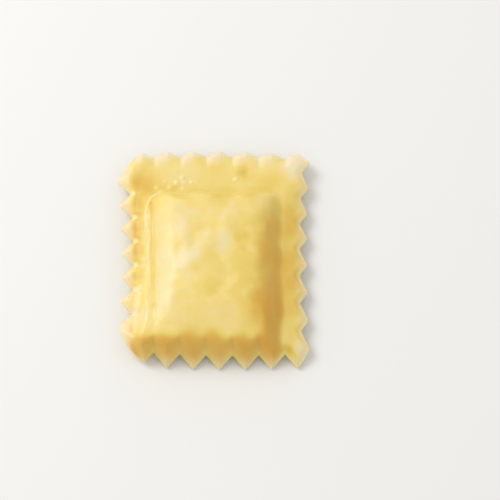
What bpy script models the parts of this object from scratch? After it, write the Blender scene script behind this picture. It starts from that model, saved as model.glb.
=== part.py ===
"""One square raviolo with pinked edges: two sheets of egg pasta sealed round a filling.

It lies flat with its domed side up. +X runs along the near edge, +Y points to the far edge and
+Z up. The origin is in the middle of the footprint, on the surface that the raviolo rests on.
Run it with: blender --background --python part.py
"""

import math
from collections import namedtuple

import bmesh
import bpy

MM = 0.001  # every size below is in millimetres

# The cut edge. A side runs from the tip of its first tooth to the tip of its last, a `pitches` count
# of teeth further on. Notches are cut `depth` inwards. `bow` swells the side's middle outwards,
# `crowd` packs its teeth towards the last one, and `notch_at` places a notch between two tips.
Side = namedtuple("Side", "first last pitches depth bow crowd notch_at")
FAR = Side((-17.2, 27.3), (20.3, 26.9), pitches=6, depth=1.8, bow=0.7, crowd=0.0, notch_at=0.5)
NEAR = Side((-16.9, -26.3), (20.0, -26.7), pitches=6, depth=3.1, bow=0.5, crowd=0.0, notch_at=0.5)
LEFT = Side((-22.0, -17.2), (-23.0, 19.2), pitches=6, depth=3.0, bow=-0.8, crowd=0.002, notch_at=0.44)
RIGHT = Side((22.8, -22.3), (23.1, 24.0), pitches=7, depth=1.9, bow=-0.6, crowd=0.017, notch_at=0.59)

# The corners between the sides are cut smooth. Each swells by this share of the cut's length.
NEAR_LEFT_BOW = 0.10
NEAR_RIGHT_BOW = 0.05
FAR_RIGHT_BOW = 0.02
FAR_LEFT_BOW = 0.04
NEAR_TIP_LOST = 0.28  # share of the near side's first tooth that the corner's cut takes off

TOOTH_STEPS = 3  # mesh steps along one flank of a tooth
CORNER_STEPS = 3  # mesh steps along half a cut corner
FADE_REACH = 9.0  # how far in from the cut the mesh lines still follow the teeth

# Where the swollen middle ends on each side, how wide its slope is there, and how strongly that
# slope levels off on the left and on the right.
Pad = namedtuple(
    "Pad", "left right near far left_slope right_slope near_slope far_slope left_curve right_curve"
)
SHOULDER = Pad(-17.5, 15.9, -25.0, 16.2, 2.4, 4.0, 2.2, 2.6, 1.4, 1.4)  # the low step round the filling
DOME = Pad(-13.9, 15.6, -24.9, 16.0, 4.4, 7.6, 16.0, 3.0, 1.4, 2.2)  # the filling itself
BELLY = Pad(-15.4, 15.4, -19.2, 15.0, 4.0, 4.0, 4.0, 4.0, 1.7, 1.7)  # the underside's bulge
CORNER_FAR_LEFT = 2.0  # 2 rounds a pad's corner like a circle, and more makes it squarer
CORNER_FAR_RIGHT = 3.6
CORNER_NEAR = 4.5

RIM_THICKNESS = 1.9
CUT_THICKNESS = 0.9  # the cutter squeezes the dough thinner along the cut
CUT_BEVEL = 1.5  # width of that squeezed band
SEAM_HEIGHT_NEAR = 3.7  # middle of the rim's thickness, above the ground
SEAM_HEIGHT_FAR = 3.9
GROUND_GAP = 0.25  # the rim stays this far above the ground
SHOULDER_HEIGHT = 2.0
SHOULDER_EXTRA_NEAR = 1.6  # the step is taller along the near edge
SHOULDER_SPREAD_NEAR = 0.8  # and it reaches this much further left in the near left corner
SHOULDER_SLOPE_NEAR = 1.2  # where its left slope is narrower
DOME_HEIGHT = 2.4
CROWN_HEIGHT = 1.2  # how much the dome's middle stands over its edges

# The rim droops past a fold line on each side: it falls this far at the tips of the teeth.
Droop = namedtuple("Droop", "fold reach fall power")
DROOP_FAR = Droop(21.5, 6.3, 2.6, 2.0)
DROOP_RIGHT = Droop(16.8, 6.2, 1.8, 1.2)
DROOP_LEFT = Droop(19.0, 4.0, 1.3, 1.2)
DROOP_NEAR = Droop(21.6, 4.8, 3.1, 1.05)
NEAR_LEFT_LIFT = 0.9  # the near fold line runs this much further in at the left corner
FAR_CORNER_FLATNESS = 0.7  # share of the right side's droop that the far corner loses
NEAR_CORNER_FLATNESS = 0.9  # share of the left side's droop that the near corner loses

# Some sizes change from place to place. A change starts this far out from the middle, towards the
# side it belongs to, and takes this length to be complete.
Change = namedtuple("Change", "start length")
CORNERS_SQUARE_NEAR = Change(0.0, 16.0)
SHOULDER_RISES_NEAR = Change(5.0, 14.0)
SHOULDER_SPREADS_NEAR = Change(6.5, 4.0)
SHOULDER_STEEPENS_NEAR = Change(16.0, 5.0)
DROOP_FLATTENS_FAR = Change(14.0, 8.0)
DROOP_FLATTENS_NEAR = Change(14.0, 5.0)
FOLD_TURNS_LEFT = Change(17.0, 5.0)

PASTA_COLOUR = (0.88, 0.65, 0.21, 1.0)
PASTA_ROUGHNESS = 0.42


def clamp(value):
    return min(1.0, max(0.0, value))


def lerp(a, b, share):
    return a + (b - a) * share


def ease(value):
    """Rises smoothly from 0 to 1 as value does."""
    t = clamp(value)
    return t * t * (3.0 - 2.0 * t)


def slope(value, sharpness):
    """Rises from 0 to 1 as value does, steep at its foot and level at its top."""
    return 1.0 - (1.0 - clamp(value)) ** sharpness


def changed(change, distance):
    """How complete a change is, this far out from the middle."""
    return ease((distance - change.start) / change.length)


def along(side, share):
    """The point at this share of a side's line of tooth tips."""
    (x0, y0), (x1, y1) = side.first, side.last
    length = math.hypot(x1 - x0, y1 - y0)
    outward = ((y1 - y0) / length, -(x1 - x0) / length)
    if outward[0] * (x0 + x1) + outward[1] * (y0 + y1) < 0:
        outward = (-outward[0], -outward[1])
    swell = side.bow * math.sin(math.pi * share)
    point = (lerp(x0, x1, share) + outward[0] * swell, lerp(y0, y1, share) + outward[1] * swell)
    return point, outward


def pinked(side, steps):
    """A side's zigzag, with `steps` mesh steps along each flank of a tooth."""
    corners = []
    for tooth in range(side.pitches + 1):
        for at, depth in ((tooth, 0.0), (tooth + side.notch_at, side.depth)):
            share = at / side.pitches
            if share <= 1.0:
                (x, y), (nx, ny) = along(side, share + side.crowd * math.sin(math.pi * share))
                corners.append((x - nx * depth, y - ny * depth))
    points = [corners[0]]
    for start, end in zip(corners, corners[1:]):
        points += line(start, end, steps)
    return points


def line(start, end, steps, bow=0.0):
    """The points after start on the way to end. A bow swells the line away from the origin."""
    (x0, y0), (x1, y1) = start, end
    points = []
    for step in range(1, steps + 1):
        share = step / steps
        x, y = lerp(x0, x1, share), lerp(y0, y1, share)
        swell = bow * math.dist(start, end) * math.sin(math.pi * share) / math.hypot(x, y)
        points.append((x * (1.0 + swell), y * (1.0 + swell)))
    return points


def cut_corner(start, end, start_steps, end_steps, bow):
    """A corner cut smoothly across, as the two runs of points either side of its middle."""
    whole = line(start, end, 2 * start_steps * end_steps, bow)
    half = start_steps * end_steps
    first = [start] + [whole[half * k // start_steps - 1] for k in range(1, start_steps + 1)]
    second = [whole[half + half * k // end_steps - 1] for k in range(1, end_steps + 1)]
    return first, second


def outline_sides():
    """The mesh's four borders: near and far run from left to right, left and right from near to far."""
    tooth = 2 * TOOTH_STEPS
    near, far = pinked(NEAR, TOOTH_STEPS), pinked(FAR, TOOTH_STEPS)
    left, right = pinked(LEFT, TOOTH_STEPS), pinked(RIGHT, TOOTH_STEPS)
    tip, notch = near[0], near[TOOTH_STEPS]
    cut_tip = (lerp(tip[0], notch[0], NEAR_TIP_LOST), lerp(tip[1], notch[1], NEAR_TIP_LOST))
    near[:TOOTH_STEPS] = [cut_tip] + line(cut_tip, notch, TOOTH_STEPS)[:-1]
    near_left = cut_corner(left[0], near[0], CORNER_STEPS, CORNER_STEPS, NEAR_LEFT_BOW)
    near_right = cut_corner(near[-1], right[0], CORNER_STEPS, CORNER_STEPS, NEAR_RIGHT_BOW)
    far_right = cut_corner(right[-1], far[-1], CORNER_STEPS, CORNER_STEPS, FAR_RIGHT_BOW)
    far_left = cut_corner(far[0], left[-1], CORNER_STEPS, CORNER_STEPS + tooth, FAR_LEFT_BOW)
    return {
        "near": near_left[0][-1:] + near_left[1][:-1] + near + near_right[0][1:],
        "right": near_right[0][-1:] + near_right[1][:-1] + right + far_right[0][1:],
        "far": far_left[0][:0:-1] + far + far_right[1][-2::-1] + far_right[0][-1:],
        "left": near_left[0][::-1] + left[1:] + far_left[1][-2::-1] + far_left[0][-1:],
    }


def ruler(side, low_end, high_end, low_steps, high_steps, axis):
    """Where the mesh lines meet a side, before its corners are cut and its teeth pushed in."""
    teeth = [point[axis] for point in pinked(side, TOOTH_STEPS)]
    low = [lerp(low_end, teeth[0], k / low_steps) for k in range(low_steps)]
    high = [lerp(teeth[-1], high_end, k / high_steps) for k in range(1, high_steps + 1)]
    return low + teeth + high


class Plan:
    """Lays a plain grid out so that its border follows the pinked cut."""

    def __init__(self):
        self.sides = outline_sides()
        tooth, corner = 2 * TOOTH_STEPS, CORNER_STEPS
        self.columns = len(self.sides["far"]) - 1
        self.rows = len(self.sides["left"]) - 1
        self.near_x = ruler(NEAR, LEFT.first[0], RIGHT.first[0], corner, corner, 0)
        self.far_x = ruler(FAR, LEFT.last[0], RIGHT.last[0], corner, corner, 0)
        self.left_y = ruler(LEFT, NEAR.first[1], FAR.first[1], corner, corner + tooth, 1)
        self.right_y = ruler(RIGHT, NEAR.last[1], FAR.last[1], corner, corner, 1)

    def plain(self, column, row):
        x = lerp(self.near_x[column], self.far_x[column], row / self.rows)
        y = lerp(self.left_y[row], self.right_y[row], column / self.columns)
        return x, y

    def push(self, name, column, row):
        """How far a side moves the border point in this column or row, and how much of that stays here."""
        nearest = {
            "near": (column, 0),
            "far": (column, self.rows),
            "left": (0, row),
            "right": (self.columns, row),
        }
        here, there = self.plain(column, row), self.plain(*nearest[name])
        target = self.sides[name][column if name in ("near", "far") else row]
        keep = clamp(1.0 - math.dist(here, there) / FADE_REACH)
        return (target[0] - there[0]) * keep, (target[1] - there[1]) * keep, keep

    def place(self, column, row):
        x, y = self.plain(column, row)
        pushes = {name: self.push(name, column, row) for name in self.sides}
        for dx, dy, _ in pushes.values():
            x, y = x + dx, y + dy
        for end, end_row in (("near", 0), ("far", self.rows)):
            for flank, end_column in (("left", 0), ("right", self.columns)):
                both = pushes[end][2] * pushes[flank][2]
                corner = self.sides[end][end_column]
                start = self.plain(end_column, end_row)
                x -= (corner[0] - start[0]) * both
                y -= (corner[1] - start[1]) * both
        return x, y

    def edge_distance(self, x, y):
        return min(
            distance_to_line(x, y, a, b)
            for side in self.sides.values()
            for a, b in zip(side, side[1:])
        )


def distance_to_line(x, y, a, b):
    (ax, ay), (bx, by) = a, b
    share = clamp(((x - ax) * (bx - ax) + (y - ay) * (by - ay)) / ((bx - ax) ** 2 + (by - ay) ** 2))
    return math.hypot(x - lerp(ax, bx, share), y - lerp(ay, by, share))


def pad(shape, x, y):
    """How swollen a pad is here, from 0 outside its rounded outline to 1 past its slopes."""
    across = min((x - shape.left) / shape.left_slope, (shape.right - x) / shape.right_slope)
    lengthwise = min((y - shape.near) / shape.near_slope, (shape.far - y) / shape.far_slope)
    rightness = ease((x - shape.left) / (shape.right - shape.left))
    far_corner = lerp(CORNER_FAR_LEFT, CORNER_FAR_RIGHT, rightness)
    squareness = lerp(far_corner, CORNER_NEAR, changed(CORNERS_SQUARE_NEAR, -y))
    lost = (1.0 - clamp(across)) ** squareness + (1.0 - clamp(lengthwise)) ** squareness
    swell = 1.0 - lost ** (1.0 / squareness)
    return slope(swell, lerp(shape.left_curve, shape.right_curve, rightness))


def dome(x, y):
    """The filling's mound: steep on three sides, running gently down to the near one."""
    nearness = ease((y - DOME.near) / DOME.near_slope)
    open_near = DOME._replace(near=DOME.near - DOME.near_slope)
    across = (2.0 * x - DOME.left - DOME.right) / (DOME.right - DOME.left)
    along_y = (2.0 * y - DOME.near - DOME.far) / (DOME.far - DOME.near)
    crown = clamp(1.0 - across**2) * clamp(1.0 - along_y**2)
    return pad(open_near, x, y) * nearness * (DOME_HEIGHT + CROWN_HEIGHT * crown)


def shoulder(x, y):
    """A low step, taller along the near side, wider and steeper in the near left corner."""
    left = SHOULDER.left - SHOULDER_SPREAD_NEAR * changed(SHOULDER_SPREADS_NEAR, -y)
    steepened = changed(SHOULDER_STEEPENS_NEAR, -y)
    left_slope = lerp(SHOULDER.left_slope, SHOULDER_SLOPE_NEAR, steepened)
    height = SHOULDER_HEIGHT + SHOULDER_EXTRA_NEAR * changed(SHOULDER_RISES_NEAR, -y)
    return height * pad(SHOULDER._replace(left=left, left_slope=left_slope), x, y)


def fall_past(droop, distance):
    return droop.fall * clamp((distance - droop.fold) / droop.reach) ** droop.power


def seam_height(x, y):
    """The middle of the rim's thickness: a tilted plane that droops past each fold line."""
    rise = ease((y - SHOULDER.near) / (SHOULDER.far - SHOULDER.near))
    level = lerp(SEAM_HEIGHT_NEAR, SEAM_HEIGHT_FAR, rise)
    far_corner = 1.0 - FAR_CORNER_FLATNESS * changed(DROOP_FLATTENS_FAR, y)
    near_corner = 1.0 - NEAR_CORNER_FLATNESS * changed(DROOP_FLATTENS_NEAR, -y)
    across = far_corner * fall_past(DROOP_RIGHT, x) + near_corner * fall_past(DROOP_LEFT, -x)
    turned_down = NEAR_LEFT_LIFT * changed(FOLD_TURNS_LEFT, -x)
    lengthwise = fall_past(DROOP_FAR, y) + fall_past(DROOP_NEAR, turned_down - y)
    return level - math.hypot(across, lengthwise)


def heights(x, y, edge):
    """The underside's and the top's height at a point this far in from the cut."""
    inside = ease(edge / CUT_BEVEL)
    thickness = lerp(CUT_THICKNESS, RIM_THICKNESS, inside)
    middle = max(seam_height(x, y), GROUND_GAP + thickness / 2)
    top = middle + thickness / 2 + inside * shoulder(x, y) + dome(x, y)
    bottom = (middle - thickness / 2) * (1.0 - pad(BELLY, x, y))
    return bottom, top


def pasta_material():
    material = bpy.data.materials.new("egg_pasta")
    material.use_nodes = True
    shader = material.node_tree.nodes["Principled BSDF"]
    shader.inputs["Base Color"].default_value = PASTA_COLOUR
    shader.inputs["Roughness"].default_value = PASTA_ROUGHNESS
    shader.inputs["Metallic"].default_value = 0.0
    return material


def raviolo_mesh():
    """A flat grid, thickened into a slab, whose two skins are then raised to their heights."""
    plan = Plan()
    slab = bmesh.new()
    bmesh.ops.create_grid(slab, x_segments=plan.columns, y_segments=plan.rows, size=0.5)
    skin = bmesh.ops.extrude_face_region(slab, geom=slab.faces[:], use_keep_orig=True)
    upper = {v for v in skin["geom"] if isinstance(v, bmesh.types.BMVert)}
    placed = {}
    for v in slab.verts:
        cell = round((v.co.x + 0.5) * plan.columns), round((v.co.y + 0.5) * plan.rows)
        if cell not in placed:
            x, y = plan.place(*cell)
            placed[cell] = (x, y, heights(x, y, plan.edge_distance(x, y)))
        x, y, skins = placed[cell]
        v.co = (x, y, skins[v in upper])
    bmesh.ops.recalc_face_normals(slab, faces=slab.faces)
    mesh = bpy.data.meshes.new("raviolo")
    slab.to_mesh(mesh)
    slab.free()
    return mesh


def centre_on_ground(mesh):
    """Moves the origin to the middle of the mesh's footprint, and turns its millimetres to metres."""
    xs = [v.co.x for v in mesh.vertices]
    ys = [v.co.y for v in mesh.vertices]
    middle_x, middle_y = (min(xs) + max(xs)) / 2, (min(ys) + max(ys)) / 2
    for v in mesh.vertices:
        v.co = ((v.co.x - middle_x) * MM, (v.co.y - middle_y) * MM, v.co.z * MM)


def main():
    for old in list(bpy.data.objects):
        bpy.data.objects.remove(old)
    mesh = raviolo_mesh()
    centre_on_ground(mesh)
    mesh.shade_smooth()
    mesh.materials.append(pasta_material())
    collection = bpy.data.collections.new("pinked_raviolo")
    bpy.context.scene.collection.children.link(collection)
    collection.objects.link(bpy.data.objects.new("raviolo", mesh))


main()
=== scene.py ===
# %% [markdown]
# # A square raviolo with a pinked edge
#
# A raviolo is two thin sheets of egg pasta, pressed together round a spoonful of filling and cut
# out with a toothed wheel. This lesson models one as it lies on a table: a swollen middle, a flat
# rim that droops towards its edge, and a row of teeth along each side.
#
# A fixed frame comes first. It holds the plain solid that a physics engine uses. The finished
# raviolo has to fill the same space, so its place is read from there and never guessed.

# %% Load the frame
import math
import random
from collections import namedtuple

import bmesh
import bpy
import numpy
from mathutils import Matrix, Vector, geometry, kdtree, noise


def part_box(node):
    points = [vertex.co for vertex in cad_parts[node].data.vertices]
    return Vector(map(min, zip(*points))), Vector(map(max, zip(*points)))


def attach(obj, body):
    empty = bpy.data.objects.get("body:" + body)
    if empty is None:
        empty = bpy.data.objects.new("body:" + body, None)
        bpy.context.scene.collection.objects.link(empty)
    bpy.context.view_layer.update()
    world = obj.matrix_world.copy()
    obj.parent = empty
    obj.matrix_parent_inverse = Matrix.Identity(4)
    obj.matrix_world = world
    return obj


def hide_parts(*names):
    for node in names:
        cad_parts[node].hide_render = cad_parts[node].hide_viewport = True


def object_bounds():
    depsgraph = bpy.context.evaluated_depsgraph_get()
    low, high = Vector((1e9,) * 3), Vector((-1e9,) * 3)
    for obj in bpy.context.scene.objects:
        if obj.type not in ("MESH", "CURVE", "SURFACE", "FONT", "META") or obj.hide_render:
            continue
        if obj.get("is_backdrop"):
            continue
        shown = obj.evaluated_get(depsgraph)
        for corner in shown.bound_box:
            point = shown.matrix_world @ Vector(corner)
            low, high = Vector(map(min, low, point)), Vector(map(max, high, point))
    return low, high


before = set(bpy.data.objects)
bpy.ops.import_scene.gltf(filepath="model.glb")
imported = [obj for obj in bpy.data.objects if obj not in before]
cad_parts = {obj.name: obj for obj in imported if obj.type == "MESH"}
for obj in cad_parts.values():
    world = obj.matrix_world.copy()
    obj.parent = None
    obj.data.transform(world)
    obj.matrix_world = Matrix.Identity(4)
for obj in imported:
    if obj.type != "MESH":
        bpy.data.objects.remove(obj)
solid_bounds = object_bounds()
solid_low, solid_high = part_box("raviolo")
MM = 0.001

print("solid:", [round(size / MM, 1) for size in solid_high - solid_low], "mm")

# %% [markdown]
# ## Small helpers
#
# Soft shapes are mostly made of a few curves that run from 0 to 1. `ease` starts and ends gently,
# like a fold in thick cloth. `slope` is steep at its foot and level at its top, like the side of a
# filled pillow. Every size below is in millimetres, and only the last step turns them to metres.


# %% Curves from 0 to 1
def clamp(value):
    return min(1.0, max(0.0, value))


def lerp(a, b, share):
    return a + (b - a) * share


def ease(value):
    t = clamp(value)
    return t * t * (3.0 - 2.0 * t)


def slope(value, sharpness):
    return 1.0 - (1.0 - clamp(value)) ** sharpness


def hill(distance, radius):
    """1 at a distance of 0, falling smoothly to 0 at the radius."""
    return ease(1.0 - abs(distance) / radius)


print("slope at a quarter, half and three quarters:", [round(slope(t / 4, 2.3), 2) for t in (1, 2, 3)])

# %% [markdown]
# ## The cut edge
#
# A pinking wheel cuts a zigzag. Each side is described by its first and last tooth tip, the number
# of pitches between them and the depth of a notch. Soft dough never stays straight, so a side may
# bow in or out, its teeth may crowd towards one end, and a notch may lie off the middle of its
# pitch. The numbers are the solid's own, so that both shapes have the same outline.
#
# The zigzag could be drawn as a curve and filled, but a filled curve has no mesh lines inside, and
# the dough has to bend. So the edge is worked out as four rows of points, which later become the
# four borders of a grid.

# %% Sizes of the four sides
Side = namedtuple("Side", "first last pitches depth bow crowd notch_at")
FAR = Side((-17.2, 27.3), (20.3, 26.9), pitches=6, depth=1.8, bow=0.7, crowd=0.0, notch_at=0.5)
NEAR = Side((-16.9, -26.3), (20.0, -26.7), pitches=6, depth=3.1, bow=0.5, crowd=0.0, notch_at=0.5)
LEFT = Side((-22.0, -17.2), (-23.0, 19.2), pitches=6, depth=3.0, bow=-0.8, crowd=0.002, notch_at=0.44)
RIGHT = Side((22.8, -22.3), (23.1, 24.0), pitches=7, depth=1.9, bow=-0.6, crowd=0.017, notch_at=0.59)
SIDES = {"near": NEAR, "right": RIGHT, "far": FAR, "left": LEFT}
FLANK_STEPS = 12
PITCH_STEPS = 2 * FLANK_STEPS

print("pitches on each side:", {name: side.pitches for name, side in SIDES.items()})


# %% The points of one side
def along(side, share):
    """The point at this share of the line of tooth tips, and the direction out of the dough."""
    (x0, y0), (x1, y1) = side.first, side.last
    length = math.hypot(x1 - x0, y1 - y0)
    outward = ((y1 - y0) / length, -(x1 - x0) / length)
    if outward[0] * (x0 + x1) + outward[1] * (y0 + y1) < 0:
        outward = (-outward[0], -outward[1])
    swell = side.bow * math.sin(math.pi * share)
    point = (lerp(x0, x1, share) + outward[0] * swell, lerp(y0, y1, share) + outward[1] * swell)
    return point, outward


def line(start, end, steps, bow=0.0):
    """The points after start on the way to end. A bow swells the line away from the origin."""
    (x0, y0), (x1, y1) = start, end
    points = []
    for step in range(1, steps + 1):
        share = step / steps
        x, y = lerp(x0, x1, share), lerp(y0, y1, share)
        swell = bow * math.dist(start, end) * math.sin(math.pi * share) / math.hypot(x, y)
        points.append((x * (1.0 + swell), y * (1.0 + swell)))
    return points


def pinked(side):
    """The zigzag of one side, from its first tip to its last."""
    corners = []
    for tooth in range(side.pitches + 1):
        for at, depth in ((tooth, 0.0), (tooth + side.notch_at, side.depth)):
            share = at / side.pitches
            if share <= 1.0:
                (x, y), (nx, ny) = along(side, share + side.crowd * math.sin(math.pi * share))
                corners.append((x - nx * depth, y - ny * depth))
    points = [corners[0]]
    for start, end in zip(corners, corners[1:]):
        points += line(start, end, FLANK_STEPS)
    return points


print("points on the far side:", len(pinked(FAR)))

# %% [markdown]
# ## Cut corners
#
# The wheel runs off the sheet at the corners, so each one is a short smooth cut instead of a tooth.
# A corner's points are shared out between the two borders that meet there. Opposite borders of a
# grid need the same number of points, and the right side has one pitch more than the left one. The
# long cut at the far left corner takes up those steps.

# %% The four borders, joined at cut corners
CORNER_STEPS = 12
FAR_LEFT_STEPS = CORNER_STEPS + PITCH_STEPS
NEAR_LEFT_BOW = 0.10
NEAR_RIGHT_BOW = 0.05
FAR_RIGHT_BOW = 0.02
FAR_LEFT_BOW = 0.04
NEAR_TIP_LOST = 0.28


def cut_corner(start, end, start_steps, end_steps, bow):
    """A corner cut smoothly across, as the two runs of points either side of its middle."""
    half = start_steps * end_steps
    whole = line(start, end, 2 * half, bow)
    first = [start] + [whole[half * k // start_steps - 1] for k in range(1, start_steps + 1)]
    second = [whole[half + half * k // end_steps - 1] for k in range(1, end_steps + 1)]
    return first, second


def near_side():
    """The near zigzag, with the point of its first tooth cut off."""
    points = pinked(NEAR)
    tip, notch = points[0], points[FLANK_STEPS]
    cut_tip = (lerp(tip[0], notch[0], NEAR_TIP_LOST), lerp(tip[1], notch[1], NEAR_TIP_LOST))
    return [cut_tip] + line(cut_tip, notch, FLANK_STEPS)[:-1] + points[FLANK_STEPS:]


def outline_sides():
    """Near and far run from left to right, left and right from near to far."""
    near, far, left, right = near_side(), pinked(FAR), pinked(LEFT), pinked(RIGHT)
    near_left = cut_corner(left[0], near[0], CORNER_STEPS, CORNER_STEPS, NEAR_LEFT_BOW)
    near_right = cut_corner(near[-1], right[0], CORNER_STEPS, CORNER_STEPS, NEAR_RIGHT_BOW)
    far_right = cut_corner(right[-1], far[-1], CORNER_STEPS, CORNER_STEPS, FAR_RIGHT_BOW)
    far_left = cut_corner(far[0], left[-1], CORNER_STEPS, FAR_LEFT_STEPS, FAR_LEFT_BOW)
    return {
        "near": near_left[0][-1:] + near_left[1][:-1] + near + near_right[0][1:],
        "right": near_right[0][-1:] + near_right[1][:-1] + right + far_right[0][1:],
        "far": far_left[0][:0:-1] + far + far_right[1][-2::-1] + far_right[0][-1:],
        "left": near_left[0][::-1] + left[1:] + far_left[1][-2::-1] + far_left[0][-1:],
    }


print("points on each border:", {name: len(points) for name, points in outline_sides().items()})

# %% [markdown]
# ## Softer teeth and a rounded cut
#
# Wet dough has no knife-sharp points. One pass that moves each point half way to the middle of its
# two neighbours takes the sharpness off the tips and the notches, and leaves straight flanks alone.
#
# The cut itself is rounded too. The two skins of the mesh stop a little inside the outline, and the
# wall between them bulges out to it. For that, each border point needs its own outward direction.
#
# Many forms below begin at some distance from the cut. So its points are also stored in a tree,
# which finds the one nearest to a place without trying them all.

# %% Softening and tucking
CUT_ROUND = 0.18
OUTWARD_TURN = {"near": 1.0, "right": 1.0, "far": -1.0, "left": -1.0}


def softened(points):
    inner = [
        ((a[0] + 2 * b[0] + c[0]) / 4, (a[1] + 2 * b[1] + c[1]) / 4)
        for a, b, c in zip(points, points[1:], points[2:])
    ]
    return points[:1] + inner + points[-1:]


def outward_directions(points, turn):
    directions = []
    for before, after in zip(points[:1] + points[:-1], points[1:] + points[-1:]):
        dx, dy = after[0] - before[0], after[1] - before[1]
        length = math.hypot(dx, dy)
        directions.append((turn * dy / length, -turn * dx / length))
    return directions


def tucked(points, directions):
    return [(x - nx * CUT_ROUND, y - ny * CUT_ROUND) for (x, y), (nx, ny) in zip(points, directions)]


outline = {name: softened(points) for name, points in outline_sides().items()}
OUTWARD = {name: outward_directions(outline[name], OUTWARD_TURN[name]) for name in outline}
BORDERS = {name: tucked(outline[name], OUTWARD[name]) for name in outline}
print("far left point of the skins:", [round(value, 2) for value in BORDERS["far"][0]], "mm")


# %% How far a place is from the cut
CUT_SAMPLES = 8


def cut_tree():
    """The four borders as close points, sorted so that the nearest one is found fast."""
    samples = [
        point
        for border in BORDERS.values()
        for start, end in zip(border, border[1:])
        for point in line(start, end, CUT_SAMPLES)
    ]
    tree = kdtree.KDTree(len(samples))
    for index, (x, y) in enumerate(samples):
        tree.insert((x, y, 0.0), index)
    tree.balance()
    return tree


CUT = cut_tree()


def edge_distance(x, y):
    return CUT.find((x, y, 0.0))[2]


print("from the middle to the cut:", round(edge_distance(0.0, 0.0), 1), "mm")

# %% [markdown]
# ## A grid that follows the cut
#
# Every mesh line should run along the dough or square to it, so that bends and shading stay even.
# A plain grid does that in the middle. Near each side, its points are pushed by as much as the
# border has to move there, and the push fades out over a few millimetres. Two pushes meet at a
# corner, where the part that they share would count twice, so it is taken off once.


# %% The plain grid
def ruler(side, low_end, high_end, low_steps, high_steps, axis):
    """Where the mesh lines meet a side, before its corners are cut and its teeth pushed in."""
    teeth = [point[axis] for point in pinked(side)]
    low = [lerp(low_end, teeth[0], k / low_steps) for k in range(low_steps)]
    high = [lerp(teeth[-1], high_end, k / high_steps) for k in range(1, high_steps + 1)]
    return low + teeth + high


NEAR_X = ruler(NEAR, LEFT.first[0], RIGHT.first[0], CORNER_STEPS, CORNER_STEPS, axis=0)
FAR_X = ruler(FAR, LEFT.last[0], RIGHT.last[0], CORNER_STEPS, CORNER_STEPS, axis=0)
LEFT_Y = ruler(LEFT, NEAR.first[1], FAR.first[1], CORNER_STEPS, FAR_LEFT_STEPS, axis=1)
RIGHT_Y = ruler(RIGHT, NEAR.last[1], FAR.last[1], CORNER_STEPS, CORNER_STEPS, axis=1)
COLUMNS, ROWS = len(NEAR_X) - 1, len(LEFT_Y) - 1


def plain_place(column, row):
    x = lerp(NEAR_X[column], FAR_X[column], row / ROWS)
    y = lerp(LEFT_Y[row], RIGHT_Y[row], column / COLUMNS)
    return x, y


print("grid:", COLUMNS, "columns by", ROWS, "rows")

# %% The grid pushed out to the borders
FADE_REACH = 9.0
Push = namedtuple("Push", "dx dy share")


def step_along(name, column, row):
    return column if name in ("near", "far") else row


def border_cell(name, column, row):
    """The cell on a side's border that a push is read from."""
    return {"near": (column, 0), "far": (column, ROWS), "left": (0, row), "right": (COLUMNS, row)}[name]


def push(name, column, row):
    here, there = plain_place(column, row), plain_place(*border_cell(name, column, row))
    target = BORDERS[name][step_along(name, column, row)]
    share = clamp(1.0 - math.dist(here, there) / FADE_REACH)
    return Push((target[0] - there[0]) * share, (target[1] - there[1]) * share, share)


def place(column, row):
    """The place of a cell's corner, and how close it is to each side, from 0 to 1."""
    x, y = plain_place(column, row)
    pushes = {name: push(name, column, row) for name in BORDERS}
    for pushed in pushes.values():
        x, y = x + pushed.dx, y + pushed.dy
    for end, end_row in (("near", 0), ("far", ROWS)):
        for flank, end_column in (("left", 0), ("right", COLUMNS)):
            both = pushes[end].share * pushes[flank].share
            corner = BORDERS[end][end_column]
            start = plain_place(end_column, end_row)
            x -= (corner[0] - start[0]) * both
            y -= (corner[1] - start[1]) * both
    return x, y, {name: pushed.share for name, pushed in pushes.items()}


def outward_at(column, row):
    """The direction out of the dough at a border cell."""
    total = Vector((0.0, 0.0))
    for name, directions in OUTWARD.items():
        if border_cell(name, column, row) == (column, row):
            total += Vector(directions[step_along(name, column, row)])
    return total.normalized()


print("middle of the grid:", [round(value, 1) for value in place(COLUMNS // 2, ROWS // 2)[:2]], "mm")

# %% [markdown]
# ## The form of the dough
#
# The height of the dough is a sum of simple parts, each of which can be seen on the table:
#
# * a rim, about two millimetres thick, that lies a little higher at the far side and droops past a
#   fold line on each of the four sides;
# * a low shoulder, where the upper sheet leaves the lower one;
# * the dome of the filling, steepest at the far side and running gently down to the near one;
# * an underside that bulges a little and is flat where it carries the weight.
#
# The shoulder, the dome and the bulge below are each a pad: a rounded rectangle that swells. A pad
# has the places of its four edges, the length of the slope behind each edge, and how sharply its
# left and right slopes rise. A droop has the distance of its fold from the middle, the reach over
# which the rim falls by its full amount, and the power that makes the fall bend or run straight.
# Some sizes change from one end to the other: a change has the distance from the middle at which it
# starts, and the length over which it becomes complete.

# %% Sizes of the filling
Pad = namedtuple(
    "Pad", "left right near far left_slope right_slope near_slope far_slope left_curve right_curve"
)
SHOULDER = Pad(-17.5, 15.9, -25.0, 16.2, 2.4, 4.0, 2.2, 2.6, 1.4, 1.4)
DOME = Pad(-13.9, 15.6, -24.9, 16.0, 4.4, 7.6, 16.0, 3.0, 1.4, 2.2)
BELLY = Pad(-15.4, 15.4, -19.2, 15.0, 4.0, 4.0, 4.0, 4.0, 1.7, 1.7)
CORNER_FAR_LEFT = 2.0
CORNER_FAR_RIGHT = 3.6
CORNER_NEAR = 4.5
SHOULDER_HEIGHT = 2.0
SHOULDER_EXTRA_NEAR = 1.6
SHOULDER_SPREAD_NEAR = 0.8
SHOULDER_SLOPE_NEAR = 1.2
DOME_HEIGHT = 2.4
CROWN_HEIGHT = 1.2

print("filling:", round(DOME.right - DOME.left, 1), "by", round(DOME.far - DOME.near, 1), "mm")

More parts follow.
